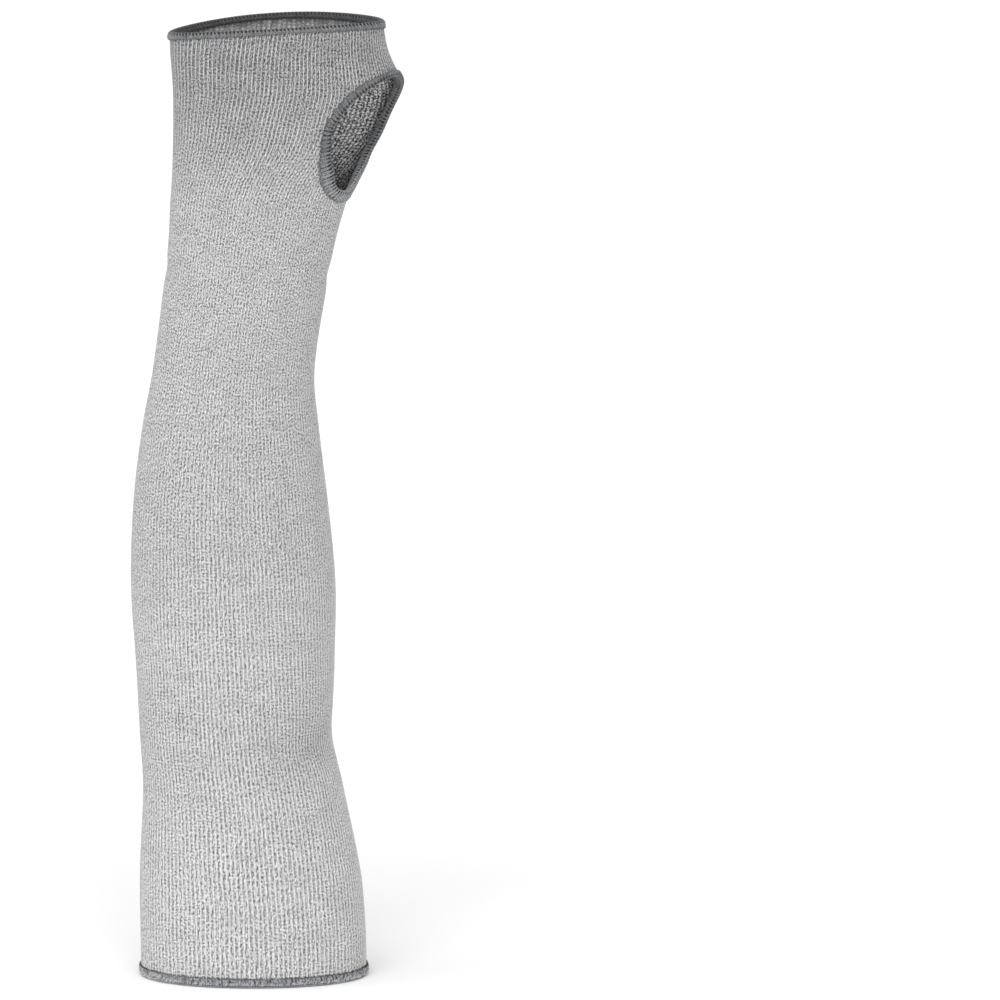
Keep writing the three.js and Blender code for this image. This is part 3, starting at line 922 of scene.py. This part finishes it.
class SLEEVE_OT_seams(bpy.types.Operator):
    """Winds bulked thread over the hand edge, the upper-arm edge and the edge of the thumb hole"""

    bl_idname = "sleeve.seams"
    bl_label = "Overlock seams"

    def execute(self, context):
        settings = context.scene.sleeve_seam
        wall = context.scene.sleeve_knit.wall / MM
        materials = [thread_material(settings), seam_bed_material(settings)]
        random = np.random.default_rng(12)
        for seam in SEAMS:
            if seam.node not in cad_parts:
                raise RuntimeError("the frame has no node named " + seam.node)
            edge_steps = 240
            ring = np.arange(edge_steps + 1) / edge_steps
            edge = seam_paths(seam.node, ring, np.zeros(edge_steps + 1), np.zeros(edge_steps + 1))[0]
            run = np.concatenate([[0], np.linalg.norm(np.diff(edge, axis=0), axis=1).cumsum()])
            turns = round(run[-1] / seam.pitch)

            # Turns of thread over the edge, no two quite alike
            share, past, off, width, thick = seam_route().T
            steps = len(share)
            outside = np.arange(steps) < steps // 2
            spread = np.arange(turns) / turns * run[-1] + random.normal(0, 0.06 + 0.14 * seam.uneven, turns)
            start = np.interp(spread, run, ring)
            share_per_mm = np.interp(spread, run, np.gradient(ring, run))
            reach = seam_reach(seam.node, start)[:, None]
            lean = seam.slant * share + seam.chevron * (1 - np.abs(2 * share - 1))
            lean = lean * np.where(outside, 1, -1) * random.normal(1, 0.35 * seam.uneven, (turns, 1))
            shares = start[:, None] + lean * share_per_mm[:, None]
            uneven = random.normal(0, 0.1 + 0.12 * seam.uneven, (turns, 1)) * (share == 1)
            inward = share[None] * reach + past[None] + uneven
            lift = np.tile(off, (turns, 1)) + random.normal(0, 0.03 + 0.06 * seam.uneven, (turns, steps))
            paths, sides = seam_paths(seam.node, shares, inward, lift)
            widths = seam.cover * seam.pitch * random.normal(1, 0.06, (turns, 1)) * width[None]
            thicknesses = SEAM_PILE * np.tile(thick, (turns, 1))
            turn_parts = thread_tubes(paths, sides, widths, thicknesses, seam.crimp)
            # Lightness of each turn: it differs at random, with painted shade on the inner face and where
            # the needle pulls the threads in, and painted light where the arm edge's turns go over the cut
            # edge
            turn_tone = np.where(outside, seam.outer, seam.inner) * random.normal(1, 0.09, (turns, 1))
            turn_tone = turn_tone * random.normal(1, 0.2 * seam.uneven, (turns, steps))
            # Painted light on the thumb hole seam's bottom, and painted shade higher up on it
            turn_tone *= seam_painted_light(seam.node, start)[:, None] * np.where(share == 1, seam.needle, 1)
            turn_tone *= np.where(share == 0, seam.edge, 1)

            # Two looped cords that hold the turns at the edge, one on each face
            steps_per_turn = 6
            beads = steps_per_turn * turns
            spread = np.arange(beads + 1) / beads
            wave = np.tile(np.cos(2 * math.pi * turns * spread), (2, 1))
            ring = np.tile(np.interp(spread * run[-1], run, ring), (2, 1))
            face = np.array([[-0.1], [-wall + 0.1]])
            lift = face + 0.1 * np.sign(face) * wave
            paths, sides = seam_paths(seam.node, ring, -0.78 + 0.05 * wave, lift)
            thickness = settings.cord / MM * (1 + 0.12 * wave)
            sides = np.tile(np.array([[[0.0, 0.0, 1.0]]]), (2, beads + 1, 1)) + 0.3 * sides
            cord_parts = thread_tubes(paths, sides, thickness, thickness, seam.crimp)
            # The cords take the painted shade of the inner face, the painted light over the cut edge, and
            # the thumb hole's painted light and shade
            cord_tone = seam.inner * seam.edge * seam_painted_light(seam.node, ring.ravel())

            bed_parts = seam_bed(seam.node, 2 * turns, wall)
            parts = [turn_parts, cord_parts, bed_parts]
            columns = [(0.0, 0.76), (0.78, 0.08), (0.88, 0.11)]
            starts = np.cumsum([0] + [len(part[0]) for part in parts])
            bake = [part[2] * [wide, 1] + [at, 0] for part, (at, wide) in zip(parts, columns)]
            uv_maps = {
                "OFBake": np.concatenate(bake),
                "Thread": np.concatenate([part[3] for part in parts]),
            }
            piece = make_object(
                seam.node.replace("overlock", "threads"),
                np.concatenate([part[0] for part in parts]),
                np.concatenate([part[1] + at for part, at in zip(parts, starts)]),
                uv_maps,
                materials,
                np.repeat([0, 0, 1], [len(part[1]) for part in parts]),
            )
            thread_tones = np.concatenate([turn_tone.ravel(), cord_tone.ravel()])
            tones = [np.repeat(thread_tones, THREAD_SIDES), np.ones(len(bed_parts[0]))]
            point_values(piece, "tone", np.concatenate(tones))
            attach(piece, "root")
            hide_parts(seam.node)
        return {"FINISHED"}


# Camera, floor and light


class SLEEVE_OT_stage(bpy.types.Operator):
    """Sets the camera at the photograph's angle, a pale paper floor and soft light"""

    bl_idname = "sleeve.stage"
    bl_label = "Stage"

    def execute(self, context):
        settings = context.scene.sleeve_stage
        scene = context.scene
        camera = bpy.data.objects.new("camera", bpy.data.cameras.new("camera"))
        scene.collection.objects.link(camera)
        aim = Vector((0.1175, 0, 0.2279))
        angle = settings.camera_height
        back = Vector((0, -math.cos(angle), math.sin(angle)))
        camera.location = aim + back * settings.camera_distance
        camera.rotation_mode = "QUATERNION"
        camera.rotation_quaternion = (-back).to_track_quat("-Z", "Y")
        camera.data.sensor_width = 36
        camera.data.lens = 36 * settings.camera_distance / settings.field
        camera.data.clip_end = 200
        scene.camera = camera

        reach = 60
        mesh = bpy.data.meshes.new("paper_floor")
        corners = [(-reach, -reach), (reach, -reach), (reach, reach), (-reach, reach)]
        level = CAD_BOX[0].z - 0.2 * MM
        mesh.from_pydata([(x, y, level) for x, y in corners], [], [(0, 1, 2, 3)])
        mesh.materials.append(floor_material(settings))
        floor = bpy.data.objects.new("paper_floor", mesh)
        scene.collection.objects.link(floor)

        world = bpy.data.worlds.new("white_surround")
        world.use_nodes = True
        tree = world.node_tree
        background = tree.nodes["Background"]
        direction = add(tree, "TexCoord").outputs["Generated"]
        side = add(tree, "SeparateXYZ", {"Vector": direction}).outputs["X"]
        dim = add(tree, "MapRange", {0: side, 1: -0.2, 2: 0.9, 3: 1.0, 4: settings.dim_side}).outputs[0]
        white = add(tree, "CombineColor", {0: dim, 1: dim, 2: dim}).outputs[0]
        tree.links.new(white, background.inputs["Color"])
        background.inputs["Strength"].default_value = settings.sky
        scene.world = world

        for lamp in LAMPS:
            light = bpy.data.lights.new(lamp.name, "SUN")
            light.energy = lamp.strength * math.pi * settings.light
            light.angle = math.radians(lamp.spread)
            holder = bpy.data.objects.new(lamp.name, light)
            holder.rotation_mode = "QUATERNION"
            holder.rotation_quaternion = Vector((lamp.x, lamp.y, lamp.z)).to_track_quat("Z", "Y")
            scene.collection.objects.link(holder)
        scene.view_settings.view_transform = "Standard"
        scene.view_settings.look = "None"
        return {"FINISHED"}


class SLEEVE_PT_panel(bpy.types.Panel):
    """Settings and steps of the sleeve protector"""

    bl_idname = "SLEEVE_PT_panel"
    bl_label = "Sleeve protector"
    bl_space_type = "VIEW_3D"
    bl_region_type = "UI"
    bl_category = "Sleeve"

    def draw(self, context):
        for group, operator in (
            ("sleeve_stage", SLEEVE_OT_stage),
            ("sleeve_knit", SLEEVE_OT_knit),
            ("sleeve_seam", SLEEVE_OT_seams),
        ):
            box = self.layout.box()
            settings = getattr(context.scene, group)
            for name in settings.__annotations__:
                box.prop(settings, name)
            box.operator(operator.bl_idname)


CLASSES = [
    SleeveKnitSettings,
    SleeveSeamSettings,
    SleeveStageSettings,
    SLEEVE_OT_stage,
    SLEEVE_OT_knit,
    SLEEVE_OT_seams,
    SLEEVE_PT_panel,
]
GROUPS = {
    "sleeve_knit": SleeveKnitSettings,
    "sleeve_seam": SleeveSeamSettings,
    "sleeve_stage": SleeveStageSettings,
}


def register():
    for cls in CLASSES:
        bpy.utils.register_class(cls)
    for name, group in GROUPS.items():
        setattr(bpy.types.Scene, name, bpy.props.PointerProperty(type=group))


def unregister():
    for name in GROUPS:
        delattr(bpy.types.Scene, name)
    for cls in reversed(CLASSES):
        bpy.utils.unregister_class(cls)


def main():
    register()
    bpy.ops.sleeve.stage()
    bpy.ops.sleeve.knit()
    bpy.ops.sleeve.seams()


if __name__ == "__main__":
    main()
